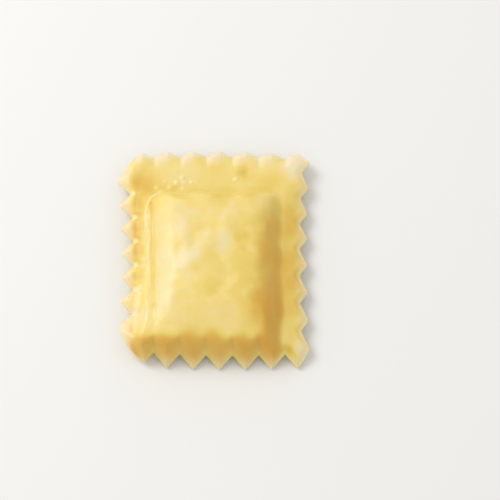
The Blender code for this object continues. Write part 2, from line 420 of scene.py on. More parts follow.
# %% Sizes of the rim
RIM_THICKNESS = 1.9
CUT_THICKNESS = 0.9
CUT_BEVEL = 1.5
SEAM_HEIGHT_NEAR = 3.7
SEAM_HEIGHT_FAR = 3.9
GROUND_GAP = 0.25

Droop = namedtuple("Droop", "fold reach fall power")
DROOP_FAR = Droop(21.5, 6.3, 2.6, 2.0)
DROOP_RIGHT = Droop(16.8, 6.2, 1.8, 1.2)
DROOP_LEFT = Droop(19.0, 4.0, 1.3, 1.2)
DROOP_NEAR = Droop(21.6, 4.8, 3.1, 1.05)
NEAR_LEFT_LIFT = 0.9
FAR_CORNER_FLATNESS = 0.7
NEAR_CORNER_FLATNESS = 0.9

print("the near rim falls by", DROOP_NEAR.fall, "mm over", DROOP_NEAR.reach, "mm")

# %% Where the form changes
Change = namedtuple("Change", "start length")
CORNERS_SQUARE_NEAR = Change(0.0, 16.0)
SHOULDER_RISES_NEAR = Change(5.0, 14.0)
SHOULDER_SPREADS_NEAR = Change(6.5, 4.0)
SHOULDER_STEEPENS_NEAR = Change(16.0, 5.0)
DROOP_FLATTENS_FAR = Change(14.0, 8.0)
DROOP_FLATTENS_NEAR = Change(14.0, 5.0)
FOLD_TURNS_LEFT = Change(17.0, 5.0)


def changed(change, distance):
    """How complete a change is, this far out."""
    return ease((distance - change.start) / change.length)


print("share of the shoulder's rise at 12 mm out:", round(changed(SHOULDER_RISES_NEAR, 12.0), 2))


# %% The shoulder and the dome
def pad(shape, x, y):
    """How swollen a pad is here, from 0 outside its rounded outline to 1 past its slopes."""
    across = min((x - shape.left) / shape.left_slope, (shape.right - x) / shape.right_slope)
    lengthwise = min((y - shape.near) / shape.near_slope, (shape.far - y) / shape.far_slope)
    rightness = ease((x - shape.left) / (shape.right - shape.left))
    far_corner = lerp(CORNER_FAR_LEFT, CORNER_FAR_RIGHT, rightness)
    squareness = lerp(far_corner, CORNER_NEAR, changed(CORNERS_SQUARE_NEAR, -y))
    lost = (1.0 - clamp(across)) ** squareness + (1.0 - clamp(lengthwise)) ** squareness
    swell = 1.0 - lost ** (1.0 / squareness)
    return slope(swell, lerp(shape.left_curve, shape.right_curve, rightness))


def dome(x, y):
    """The filling, with a low crown on its middle."""
    nearness = ease((y - DOME.near) / DOME.near_slope)
    open_near = DOME._replace(near=DOME.near - DOME.near_slope)
    across = (2.0 * x - DOME.left - DOME.right) / (DOME.right - DOME.left)
    lengthwise = (2.0 * y - DOME.near - DOME.far) / (DOME.far - DOME.near)
    crown = clamp(1.0 - across**2) * clamp(1.0 - lengthwise**2)
    return pad(open_near, x, y) * nearness * (DOME_HEIGHT + CROWN_HEIGHT * crown)


def shoulder(x, y):
    """A low step, taller along the near side, wider and steeper in the near left corner."""
    left = SHOULDER.left - SHOULDER_SPREAD_NEAR * changed(SHOULDER_SPREADS_NEAR, -y)
    steepened = changed(SHOULDER_STEEPENS_NEAR, -y)
    left_slope = lerp(SHOULDER.left_slope, SHOULDER_SLOPE_NEAR, steepened)
    height = SHOULDER_HEIGHT + SHOULDER_EXTRA_NEAR * changed(SHOULDER_RISES_NEAR, -y)
    return height * pad(SHOULDER._replace(left=left, left_slope=left_slope), x, y)


print("shoulder and dome in the middle:", round(shoulder(0, 0), 2), "and", round(dome(0, 0), 2), "mm")


# %% The rim
def fall_past(droop, distance):
    return droop.fall * clamp((distance - droop.fold) / droop.reach) ** droop.power


def seam_height(x, y):
    """The height of the seam between the two sheets, which droops past each fold line."""
    rise = ease((y - SHOULDER.near) / (SHOULDER.far - SHOULDER.near))
    level = lerp(SEAM_HEIGHT_NEAR, SEAM_HEIGHT_FAR, rise)
    far_corner = 1.0 - FAR_CORNER_FLATNESS * changed(DROOP_FLATTENS_FAR, y)
    near_corner = 1.0 - NEAR_CORNER_FLATNESS * changed(DROOP_FLATTENS_NEAR, -y)
    across = far_corner * fall_past(DROOP_RIGHT, x) + near_corner * fall_past(DROOP_LEFT, -x)
    turned_down = NEAR_LEFT_LIFT * changed(FOLD_TURNS_LEFT, -x)
    lengthwise = fall_past(DROOP_FAR, y) + fall_past(DROOP_NEAR, turned_down - y)
    return level - math.hypot(across, lengthwise)


print("crown:", round(seam_height(0, 0) + RIM_THICKNESS / 2 + shoulder(0, 0) + dome(0, 0), 2), "mm")

# %% [markdown]
# ## What makes it dough
#
# The form so far is a clean die-cast pillow. Dough shows how it was handled. Behind each tooth the
# wheel has left a small lobe, with a valley that runs in from the notch. It has pinched up a bead
# at each notch of the left side. The filling makes lumps under the sheet, steam has raised a few
# blisters, and there are hollows and narrow folds. Each is a small number that is added to the
# height, and those that follow the cut are worked out from its teeth.

# %% Lobes behind the teeth
Lobe = namedtuple("Lobe", "height lean")
LOBES = {"far": Lobe(1.4, 0.55), "near": Lobe(0.2, 1.0), "left": Lobe(0.3, 1.0), "right": Lobe(0.2, 1.0)}
LOBE_REACH = 0.55
LOBE_LEVEL = 0.6


def tooth_phase(name, column, row):
    """How far a place is from one notch of a side to the next: 0 and 1 are notches, 0.5 a tip."""
    pitch = (step_along(name, column, row) - CORNER_STEPS) / PITCH_STEPS
    return (min(max(pitch, 0.0), SIDES[name].pitches) + 0.5) % 1.0


def lobes(column, row, closeness):
    """The swelling behind each tooth, and below 0 the valley behind each notch.

    A lean below 1 moves the top of the swelling towards the notch before it.
    """
    total = 0.0
    for name, close in closeness.items():
        lobe = LOBES[name]
        wave = math.sin(math.pi * tooth_phase(name, column, row) ** lobe.lean)
        total += lobe.height * ease((close - 1.0 + LOBE_REACH) / LOBE_REACH) * (wave - LOBE_LEVEL)
    return total


print("lobe behind a far tooth:", round(lobes(CORNER_STEPS, 0, {"far": 1.0}), 2), "mm")

# %% Hollows and blisters
Spot = namedtuple("Spot", "x y radius height")
HOLLOWS = [
    Spot(7.4, 21.2, 2.2, -0.35),
    Spot(-17.2, 18.6, 4.6, -0.25),
    Spot(11.8, -11.5, 4.2, -0.4),
    Spot(-8.2, -0.2, 2.6, -0.14),
    Spot(-8.8, -13.2, 2.6, -0.2),
    Spot(2.2, -5.0, 2.6, -0.16),
    Spot(5.2, 5.6, 3.0, -0.2),
]
Field = namedtuple("Field", "x y spread count")
BLISTER_FIELDS = [Field(-8.0, 18.0, 4.2, 10), Field(5.4, 19.5, 0.5, 2), Field(-13.4, 17.6, 0.9, 1)]
FIELD_FLATNESS = 0.55
BLISTER_RADII = (0.45, 0.9)
BLISTER_STEEPNESS = 0.30
BLISTER_SEED = 7


def scattered_blisters():
    dice = random.Random(BLISTER_SEED)
    blisters = []
    for field in BLISTER_FIELDS:
        for _ in range(field.count):
            turn = dice.uniform(0, math.tau)
            reach = field.spread * math.sqrt(dice.random())
            x = field.x + reach * math.cos(turn)
            y = field.y + FIELD_FLATNESS * reach * math.sin(turn)
            radius = dice.uniform(*BLISTER_RADII)
            blisters.append(Spot(x, y, radius, BLISTER_STEEPNESS * radius))
    return blisters


BLISTERS = scattered_blisters()
print(len(HOLLOWS), "hollows and", len(BLISTERS), "blisters")

# %% Beads and pits along the left side
BEAD_RADIUS = 0.75
BEAD_HEIGHT = 0.38
PIT_INSET = 4.2
PIT_RADIUS = 2.6
PIT_DEPTH = 0.14


def pinched_beads():
    """The wheel squeezes a small bead of dough up behind each notch of the left side."""
    notches = pinked(LEFT)[FLANK_STEPS::PITCH_STEPS]
    return [Spot(x + BEAD_RADIUS / 2, y, BEAD_RADIUS, BEAD_HEIGHT) for x, y in notches]


def pits_behind_teeth():
    """Between the beads the dough sinks a little behind each tooth of the left side."""
    tips = pinked(LEFT)[::PITCH_STEPS]
    return [Spot(x + PIT_INSET, y, PIT_RADIUS, -PIT_DEPTH) for x, y in tips]


BEADS = pinched_beads()
PITS = pits_behind_teeth()
SPOTS = HOLLOWS + BLISTERS + BEADS + PITS


def spots(x, y):
    return sum(s.height * hill(math.hypot(x - s.x, y - s.y), s.radius) for s in SPOTS)


print(len(BEADS), "beads and", len(PITS), "pits")

# %% Narrow folds
Ridge = namedtuple("Ridge", "width height pale points")
FAR_LEFT_ARC = [(-12.4, 16.1), (-13.8, 15.0), (-15.0, 13.6), (-15.7, 12.0), (-16.0, 10.0), (-15.7, 6.6)]
# A ridge's pale is a painted highlight along its fold, and below 0 painted shade along a groove.
RIDGES = [
    # the fold round the far left corner of the filling, and on down its left side
    Ridge(0.6, 0.26, 0.45, FAR_LEFT_ARC),
    Ridge(0.9, 0.10, 0.15, [(-15.7, 7.0), (-15.6, 0.0), (-15.9, -9.0)]),
    Ridge(1.1, 0.45, 0.4, [(-17.3, -8.2), (-17.8, -11.3), (-18.1, -15.2), (-18.1, -19.0)]),
    # the groove between that fold and the filling, and the one along the far side
    Ridge(0.8, -0.10, -0.22, [(-14.6, 12.5), (-14.2, 3.0), (-13.9, -6.0), (-13.7, -13.5)]),
    Ridge(1.1, -0.06, -0.14, [(-13.7, -13.5), (-13.4, -17.5)]),
    Ridge(1.8, -0.20, -0.05, [(-9.5, 16.7), (-4.0, 16.6), (6.0, 16.5), (13.5, 16.3)]),
    # creases of the near left corner
    Ridge(0.5, 0.20, 0.6, [(-21.9, -11.5), (-21.0, -12.0)]),
    Ridge(0.5, 0.20, 0.5, [(-19.6, -15.6), (-19.1, -16.8)]),
    Ridge(0.7, 0.35, 0.6, [(-21.6, -18.0), (-20.2, -19.3), (-18.6, -20.2)]),
    # wide folds over the filling
    Ridge(3.4, 0.17, 0.1, [(-6.6, -5.0), (-3.2, 0.3), (0.4, 3.0), (3.4, 4.0)]),
    Ridge(2.4, 0.15, 0.1, [(-7.4, 8.5), (-7.0, 4.6), (-6.4, 1.8)]),
    # the swollen rim of the left side and of the far left corner
    Ridge(2.8, 0.50, 0.0, [(-20.8, 17.4), (-20.4, 8.0), (-20.0, 0.0), (-20.3, -8.0), (-20.9, -15.5)]),
    Ridge(3.4, 0.40, 0.20, [(-21.4, 18.8), (-19.2, 22.6), (-16.4, 25.6)]),
]


def ridge_distance(ridge, here):
    """How far a place is from the line of a ridge, and no more than the ridge's own width."""
    points = [Vector(point) for point in ridge.points]
    nearest = ridge.width
    for start, end in zip(points, points[1:]):
        _, share = geometry.intersect_point_line(here, start, end)
        nearest = min(nearest, (here - start.lerp(end, clamp(share))).length)
    return nearest


def ridges(x, y):
    """The height that the narrow folds add here, and the painted highlight along them, below 0 in a
    groove.
    """
    here = Vector((x, y))
    height = pale = 0.0
    for ridge in RIDGES:
        nearness = hill(ridge_distance(ridge, here), ridge.width)
        height += ridge.height * nearness
        pale += ridge.pale * nearness
    return height, pale


print("top of the swollen left rim:", round(ridges(-20.0, 0.0)[0], 2), "mm")

# %% Lumps and waves
Ripple = namedtuple("Ripple", "height size seed")
LUMPS = (Ripple(0.24, 6.5, 4.0), Ripple(0.084, 2.8, 8.0))
SHEET_WAVES = (Ripple(0.10, 4.2, 1.0), Ripple(0.035, 1.3, 2.0))
WANDER_ACROSS = Ripple(0.5, 8.0, 3.0)
WANDER_ALONG = Ripple(0.5, 8.0, 12.0)


def rippled(x, y, *ripples):
    """Smooth noise around 0, as the sum of ripples with their own height and size."""
    return sum(r.height * noise.noise(Vector((x / r.size, y / r.size, r.seed))) for r in ripples)


def wander(x, y):
    """A place moved a little sideways, so that no edge of the filling is ruled straight."""
    return x + rippled(x, y, WANDER_ACROSS), y + rippled(x, y, WANDER_ALONG)


print("lumps in the middle:", round(rippled(0.5, 0.5, *LUMPS), 3), "mm")

# %% [markdown]
# ## All the heights at one place
#
# The rim comes first, with its waves and most of each lobe, because those bend both sheets. It can
# never sink into the table. The shoulder and the dome lift the upper sheet alone. The small forms
# are kept apart as `detail`, so that the folds of the large ones can be rounded without losing them.

# %% The underside, the top and its small forms
LOBE_BEND = 0.6


def skin_heights(column, row, x, y, closeness, edge):
    """The heights at a corner of the grid, how full it is and the painted highlight of its folds."""
    inside = ease(edge / CUT_BEVEL)
    thickness = lerp(CUT_THICKNESS, RIM_THICKNESS, inside)
    lobe = lobes(column, row, closeness)
    middle = seam_height(x, y) + LOBE_BEND * lobe + rippled(x, y, *SHEET_WAVES)
    middle = max(middle, GROUND_GAP + thickness / 2)
    wx, wy = wander(x, y)
    mound = dome(wx, wy)
    fullness = clamp(mound / DOME_HEIGHT)
    top = middle + thickness / 2 + inside * shoulder(wx, wy) + mound
    folds, pale = ridges(x, y)
    small_forms = (1.0 - LOBE_BEND) * lobe + fullness * rippled(x, y, *LUMPS) + spots(x, y) + folds
    bottom = (middle - thickness / 2) * (1.0 - pad(BELLY, wx, wy))
    return bottom, top, inside * small_forms, fullness, pale


middle_cell = (COLUMNS // 2, ROWS // 2)
middle_heights = skin_heights(*middle_cell, *place(*middle_cell), edge=edge_distance(0.0, 0.0))
print("underside and top in the middle:", [round(height, 2) for height in middle_heights[:2]], "mm")

# %% [markdown]
# ## Squeezed thin, and a painted sheen
#
# Pressing the wheel through two sheets squeezes them together, and thin dough is pale. The paleness
# is strongest at the tips of the teeth and gone a few millimetres in. On the far side part of it is
# a painted sheen: each lobe leans, the half that faces the lamp is painted pale a long way in, and
# the shaded half past its top for a shorter way.

# %% Where the dough is thin, and where its sheen is painted
Paleness = namedtuple("Paleness", "reach amount")
PALENESS = {
    "far": Paleness(6.6, 0.85),
    "near": Paleness(3.0, 0.5),
    "left": Paleness(4.4, 0.70),
    "right": Paleness(3.6, 0.42),
}
PALE_SURPLUS = 1.5
PALE_FALL = 1.7
# how far in the painted sheen reaches on the shaded half of each far lobe
SHADED_HALF_REACH = 2.6
SHADED_HALF = Change(0.3, 0.5)


def inset(side, x, y):
    """How far in from the line of its tooth tips a place lies."""
    (x0, y0), (x1, y1) = side.first, side.last
    share = ((x - x0) * (x1 - x0) + (y - y0) * (y1 - y0)) / math.dist(side.first, side.last) ** 2
    (tip_x, tip_y), (nx, ny) = along(side, clamp(share))
    return (tip_x - x) * nx + (tip_y - y) * ny


def thinness_and_sheen(x, y, column, row):
    """How pale the squeezed dough is, with the painted sheen of the far lobes, from 0 to 1."""
    shaded_half = changed(SHADED_HALF, tooth_phase("far", column, row))
    palest = 0.0
    for name, side in SIDES.items():
        reach, amount = PALENESS[name]
        if name == "far":
            reach = lerp(reach, SHADED_HALF_REACH, shaded_half)
        palest = max(palest, amount * ease(PALE_SURPLUS - PALE_FALL * inset(side, x, y) / reach))
    return palest


print("thinness at a far tip:", round(thinness_and_sheen(*FAR.first, CORNER_STEPS, ROWS), 2))

# %% [markdown]
# ## From one place to the whole grid
#
# Everything so far is a formula for one place. A double loop works it out for each corner of the
# grid, and keeps each result in a grid of its own, so that the next steps can treat the whole
# raviolo at once.


# %% What every corner of the grid measures
def measured_grids():
    """The place, the distance to the cut, the heights and the masks, as one grid each."""
    names = ("x", "y", "edge", "bottom", "top", "detail", "full", "pale", "thin")
    grids = {name: numpy.zeros((ROWS + 1, COLUMNS + 1)) for name in names}
    for row in range(ROWS + 1):
        for column in range(COLUMNS + 1):
            x, y, closeness = place(column, row)
            edge = edge_distance(x, y)
            heights = skin_heights(column, row, x, y, closeness, edge)
            values = (x, y, edge, *heights, thinness_and_sheen(x, y, column, row))
            for name, value in zip(names, values):
                grids[name][row, column] = value
    return grids


grids = measured_grids()
xs, ys, edges = grids["x"], grids["y"], grids["edge"]
print("highest point before rounding:", round(float(grids["top"].max()), 2), "mm")

# %% [markdown]
# ## Round folds
#
# Where two of the formulas meet, their sum has a hard crease, and soft dough has none. A few passes
# of blurring over the grid of heights round every fold. Close to the cut nothing is blurred, so
# that the teeth stay crisp. The blur is much softer in three bands, where the sheet hangs loosely
# from the filling down to the rim: along the left side, the far side and the right side.


# %% Blurring a grid
def blurred(grid, passes):
    for _ in range(passes):
        wide = numpy.pad(grid, 1, mode="edge")
        beside = wide[:-2, 1:-1] + wide[2:, 1:-1] + wide[1:-1, :-2] + wide[1:-1, 2:]
        grid = grid / 2 + beside / 8
    return grid


def eased(grid):
    """The smooth rise from 0 to 1 of `ease`, for a whole grid at once."""
    t = numpy.clip(grid, 0.0, 1.0)
    return t * t * (3.0 - 2.0 * t)


Band = namedtuple("Band", "low low_ramp high high_ramp", defaults=(-math.inf, 1.0, math.inf, 1.0))


def in_band(grid, band):
    """1 inside a band and 0 outside, with a smooth ramp of its own at each end."""
    return eased((grid - band.low) / band.low_ramp) * eased((band.high - grid) / band.high_ramp)


print("edge of a blurred step:", blurred(numpy.array([[0.0, 0.0, 1.0, 1.0]]), 2)[0].round(2))

# %% The rounded top
FIRM_BLUR = 8
SOFT_BLUR = 36
BLUR_INSET = 1.2
LEFT_FOLD = Band(-19.5, 1.5, -6.5, 3.0)
LEFT_FOLD_LENGTH = Band(low=-20.5, low_ramp=3.0)
FAR_FOLD = Band(10.0, 3.0, 19.5, 2.0)
FAR_SOFTNESS = 0.6
RIGHT_FOLD = Band(9.0, 3.0, 17.5, 2.0)
RIGHT_SOFTNESS = 0.8


def rounded_skin(tops):
    firm, soft = blurred(tops, FIRM_BLUR), blurred(tops, SOFT_BLUR)
    left = in_band(xs, LEFT_FOLD) * in_band(ys, LEFT_FOLD_LENGTH)
    softness = numpy.maximum(left, FAR_SOFTNESS * in_band(ys, FAR_FOLD))
    softness = numpy.maximum(softness, RIGHT_SOFTNESS * in_band(xs, RIGHT_FOLD))
    return tops + (firm + (soft - firm) * softness - tops) * eased(edges / BLUR_INSET)


tops = rounded_skin(grids["top"]) + grids["detail"]
print("highest point:", round(float(tops.max()), 2), "mm")

# %% [markdown]
# ## From a grid to a closed slab
#
# The mesh starts as a flat grid. Extruding all its faces gives a second skin and the wall between
# them, and cutting the wall's upright edges gives it enough points to be rounded. While the block
# is still a plain box, each of its points carries its own address: column, row and share of the
# thickness. The address says where the point belongs on the raviolo.

# %% The plain block
WALL_CUTS = 5


def plain_block():
    block = bmesh.new()
    bmesh.ops.create_grid(block, x_segments=COLUMNS, y_segments=ROWS, size=0.5)
    skin = bmesh.ops.extrude_face_region(block, geom=block.faces[:], use_keep_orig=True)
    upper = [part for part in skin["geom"] if isinstance(part, bmesh.types.BMVert)]
    bmesh.ops.translate(block, verts=upper, vec=(0.0, 0.0, 1.0))
    upright = [edge for edge in block.edges if abs(edge.verts[0].co.z - edge.verts[1].co.z) > 0.5]
    bmesh.ops.subdivide_edges(block, edges=upright, cuts=WALL_CUTS, use_grid_fill=True)
    return block


block = plain_block()
print("block:", len(block.verts), "points and", len(block.faces), "faces")

# %% [markdown]
# ## Moving every point to its place
#
# A point of the wall sits between the two skins. It bulges out by a rounded profile, and a faint
# groove at half height shows where the two sheets meet. The cell of each point is kept, because the
# masks of the finish are read from the same cells later.

# %% The place of each point
SEAM_GROOVE = 0.07
SEAM_WIDTH = 0.22
WALL_SQUARENESS = 2.6


def wall_bulge(share):
    """How far a wall point stands out from the skins' border, for its share of the thickness."""
    off_middle = abs(2.0 * share - 1.0)
    rounded = (1.0 - off_middle**WALL_SQUARENESS) ** (1.0 / WALL_SQUARENESS)
    return CUT_ROUND * rounded - SEAM_GROOVE * math.exp(-((off_middle / SEAM_WIDTH) ** 2))


def shape_block(block):
    """Moves the block's points onto the raviolo, and returns each one's cell as one number."""
    cells = []
    for v in block.verts:
        column, row = round((v.co.x + 0.5) * COLUMNS), round((v.co.y + 0.5) * ROWS)
        share = v.co.z
        x, y, bottom, top = (float(grid[row, column]) for grid in (xs, ys, grids["bottom"], tops))
        if 0.0 < share < 1.0:
            outward = outward_at(column, row)
            x += outward.x * wall_bulge(share)
            y += outward.y * wall_bulge(share)
        v.co = (x, y, lerp(bottom, top, share))
        cells.append(row * (COLUMNS + 1) + column)
    return cells


cells = shape_block(block)
print("the wall stands out by", round(wall_bulge(0.25), 2), "mm at a quarter of its height")

# %% [markdown]
# ## Masks for the finish
#
# The finish needs to know where the dough is thin and pale, where it covers the filling, and which
# tone it has. Much of the tone is painted light and shade that follows the form, so it can be
# worked out from the heights:
#
# * a crease is a place that lies lower than its surroundings, found by comparing the heights with
#   a blurred copy of themselves, and it gets painted shade, a deeper yellow;
# * the slopes towards the near right face away from the lamp and get painted shade, deep in tone;
# * the far slope of the filling gets painted shade, a little deeper than its top;
# * the slope towards the left faces the lamp and gets painted light, so it is paler.

# %% How steeply the top falls
FACE_PITCH_X = (RIGHT.first[0] - LEFT.first[0]) / COLUMNS
FACE_PITCH_Y = (FAR.first[1] - NEAR.first[1]) / ROWS
Facing = namedtuple("Facing", "direction start full blur")
# painted shade: the slopes that face away from the lamp, towards the near right
SHADED_SLOPE = Facing(Vector((0.75, -0.66)), start=0.15, full=0.8, blur=12)
# painted shade: the far slope of the filling, along its crease
FAR_SLOPE_SHADE = Facing(Vector((0.2, 0.98)), start=0.0, full=0.8, blur=6)
# painted light: the slopes that face the lamp, towards the left
LIT_SLOPE = Facing(Vector((-0.98, 0.2)), start=0.0, full=0.5, blur=16)


def shares(grid, full):
    """The grid as shares from 0 to 1 of its full value."""
    return numpy.clip(grid / full, 0.0, 1.0)


def downhill(grid, direction):
    """How steeply the heights fall towards a direction."""
    along_rows, along_columns = numpy.gradient(grid)
    return -direction.x * along_columns / FACE_PITCH_X - direction.y * along_rows / FACE_PITCH_Y


def slopes_facing(facing, where):
    """The slopes that fall towards a direction, on the part of the dough that a mask marks."""
    steepness = shares(downhill(tops, facing.direction) - facing.start, facing.full)
    return blurred(steepness * where, facing.blur)


print("steepest fall to the near right:", round(float(downhill(tops, SHADED_SLOPE.direction).max()), 1))

# %% Creases and slopes
CREASE_BLUR = 70
CREASE_DEPTH = 0.6
CREASE_INSET = 0.5
CREASE_RAMP = 2.5
SHADED_SLOPE_INSET = 1.0
SHADED_SLOPE_LENGTH = Band(high=16.0, high_ramp=13.0)
SHADED_SLOPE_LEAST = 0.2
LIT_SLOPE_LENGTH = Band(-20.0, 10.0, 12.0, 10.0)

# Painted shade: the creases are deepened in tone.
crease_shade = shares(blurred(tops, CREASE_BLUR) - tops, CREASE_DEPTH)
crease_shade *= shares(edges - CREASE_INSET, CREASE_RAMP)
# Painted shade on the slopes that face away from the lamp.
shaded_slopes = slopes_facing(SHADED_SLOPE, shares(edges, SHADED_SLOPE_INSET)) * lerp(SHADED_SLOPE_LEAST, 1.0, in_band(ys, SHADED_SLOPE_LENGTH))
# Painted shade on the far slope of the filling.
far_slope_shade = slopes_facing(FAR_SLOPE_SHADE, grids["full"])
# Painted light on the slopes that face the lamp.
lit_slopes = slopes_facing(LIT_SLOPE, grids["full"]) * in_band(ys, LIT_SLOPE_LENGTH)
print("share of the top in a crease:", round(float((crease_shade > 0.3).mean()), 3))

# %% [markdown]
# ## Tone spots
#
# The rest of the tone has no rule and is given place by place. Some places are mottles where the
# sheet touches the filling; many are painted shade, in hollows, in creases and where the dough
# droops away from the lamp. Each such place is a tone spot, a soft oval that makes the dough paler
# if its amount is above 0 and deeper if it is below. `tall` is how many times longer it is than
# wide. Blisters and beads get a painted highlight, and pits get painted shade.

# %% Tone spots of the filling and the rim: mottles, painted shade and painted highlights
ToneSpot = namedtuple("ToneSpot", "x y radius tall amount")
FILLING_TONE_SPOTS = [
    # pale lumps and the deeper mottles between them, and painted shade in two hollows
    ToneSpot(-6.8, 4.6, 3.0, 1.5, 0.3),
    ToneSpot(-4.4, -1.6, 2.8, 1.1, 0.35),
    ToneSpot(2.8, 2.5, 4.2, 1.2, 0.25),
    ToneSpot(11.8, 12.2, 3.2, 1.3, 0.28),
    ToneSpot(-8.0, 0.6, 2.8, 1.7, -0.28),
    ToneSpot(-8.8, -13.2, 2.4, 1.0, -0.2),
    ToneSpot(2.2, -5.0, 2.4, 1.0, -0.08),
    ToneSpot(6.2, 0.8, 4.0, 1.2, -0.16),
    ToneSpot(6.8, -0.5, 5.0, 3.2, -0.26),
    ToneSpot(12.5, 0.0, 6.5, 3.0, -0.12),
    # painted shade along its far crease, down its right slope and at its near right end, and paler
    # and deeper patches at its near end
    ToneSpot(0.0, 13.0, 10.0, 0.4, -0.2),
    ToneSpot(16.3, 0.0, 2.2, 7.0, -0.2),
    ToneSpot(12.2, -13.5, 7.0, 1.25, -0.8),
    ToneSpot(14.4, -14.5, 3.0, 2.2, 0.2),
    ToneSpot(1.5, -10.5, 9.0, 0.6, -0.3),
    ToneSpot(-1.0, -17.8, 10.0, 0.35, 0.04),
]
RIM_TONE_SPOTS = [
    # the far side, from left to right: painted shade in the far left hollow, along the crease and in
    # the dimple; a paler far right corner
    ToneSpot(-16.6, 17.8, 5.6, 1.6, -0.45),
    ToneSpot(-10.4, 17.2, 3.2, 0.6, -0.25),
    ToneSpot(7.4, 21.0, 2.8, 1.2, -0.3),
    ToneSpot(12.0, 18.8, 6.5, 0.6, -0.22),
    ToneSpot(19.0, 20.2, 1.8, 1.3, 0.3),
    ToneSpot(19.6, 23.2, 4.6, 1.0, 0.8),
    # the left side, and round the near left corner to the near side: painted shade in the left recess
    # and on the drooping near left corner, and paler dough on the fold beside it
    ToneSpot(-18.4, 3.0, 2.4, 6.6, -0.5),
    ToneSpot(-16.4, -16.0, 3.4, 1.3, 0.2),
    ToneSpot(-19.4, -22.0, 3.6, 1.6, -0.45),
    ToneSpot(-17.9, -22.8, 2.0, 1.6, -0.5),
    ToneSpot(-6.0, -22.8, 12.0, 0.25, 0.1),
    # the right side, from far to near: painted shade where the right rim droops away from the lamp,
    # and a paler near right corner
    ToneSpot(18.3, 10.0, 4.0, 2.2, -0.35),
    ToneSpot(18.3, -4.0, 4.0, 5.5, -0.5),
    ToneSpot(20.2, -23.4, 3.0, 1.2, 0.9),
]


def painted_light_and_shade_on(forms, spread, tall, amount):
    """The same tone spot on each of some small forms, this many times as wide as the form."""
    return [ToneSpot(form.x, form.y, form.radius * spread, tall, amount) for form in forms]


TONE_SPOTS = FILLING_TONE_SPOTS + RIM_TONE_SPOTS
# Painted highlights on the blisters and beads, and painted shade in the pits.
TONE_SPOTS += painted_light_and_shade_on(BLISTERS, spread=1.3, tall=1.0, amount=0.38)
TONE_SPOTS += painted_light_and_shade_on(BEADS, spread=1.4, tall=1.0, amount=0.9)
TONE_SPOTS += painted_light_and_shade_on(PITS, spread=1.0, tall=1.1, amount=-0.15)
print(len(TONE_SPOTS), "tone_spots")

# %% One tone for every corner of the grid
# How much painted light the lit slope gets, and how much painted shade the shaded slopes, the far slope
# and the creases get.
LIT_SLOPE_PALE = 0.42
SHADED_SLOPE_DEEP = 0.95
FAR_SLOPE_SHADE_DEEP = 0.35
CREASE_SHADE_DEEP = 0.12


def tone_spots_at(xs, ys):
    total = numpy.zeros(xs.shape)
    for tone_spot in TONE_SPOTS:
        distance = numpy.hypot(xs - tone_spot.x, (ys - tone_spot.y) / tone_spot.tall) / tone_spot.radius
        total += tone_spot.amount * eased(1.0 - distance)
    return total


# The tone adds the tone spots, the painted highlights of the folds and the painted light of the lit
# slope, less the painted shade.
tones = tone_spots_at(xs, ys) + grids["pale"] + LIT_SLOPE_PALE * lit_slopes
tones -= SHADED_SLOPE_DEEP * shaded_slopes + FAR_SLOPE_SHADE_DEEP * far_slope_shade + CREASE_SHADE_DEEP * crease_shade
print("tones run from", round(float(tones.min()), 2), "to", round(float(tones.max()), 2))

# %% [markdown]
# ## The finished mesh
#
# The masks go onto the mesh as attributes, one number for each point, which the finish can read by
# name. Only now do millimetres become metres, and the footprint is centred on the solid's.


# %% From the block to an object
def finished_mesh(block):
    bmesh.ops.recalc_face_normals(block, faces=block.faces)
    mesh = bpy.data.meshes.new("raviolo_dough")
    block.to_mesh(mesh)
    block.free()
    for name, grid in (("thin", grids["thin"]), ("filled", grids["full"]), ("tone", tones)):
        mask = mesh.attributes.new(name, "FLOAT", "POINT")
        mask.data.foreach_set("value", grid.ravel()[cells].astype(numpy.float32))
    return mesh


def fit_to_solid(mesh):
    """Turns millimetres to metres and centres the footprint on the solid's."""
    xs, ys = [v.co.x for v in mesh.vertices], [v.co.y for v in mesh.vertices]
    middle = Vector(((min(xs) + max(xs)) / 2, (min(ys) + max(ys)) / 2, 0.0)) * MM
    target = (solid_low + solid_high) / 2
    shift = Vector((target.x - middle.x, target.y - middle.y, solid_low.z))
    for v in mesh.vertices:
        v.co = v.co * MM + shift


dough_mesh = finished_mesh(block)
fit_to_solid(dough_mesh)
dough_mesh.shade_smooth()
raviolo = bpy.data.objects.new("raviolo_dough", dough_mesh)
bpy.context.scene.collection.objects.link(raviolo)
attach(raviolo, "root")
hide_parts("raviolo")
print("triangles:", sum(len(face.vertices) - 2 for face in dough_mesh.polygons))

# %% [markdown]
# ## Shader sums in Python
#
# A finish is a graph of nodes, and most of them only add, multiply and mix. The small class below
# wraps a socket, so that such a sum can be written as one.


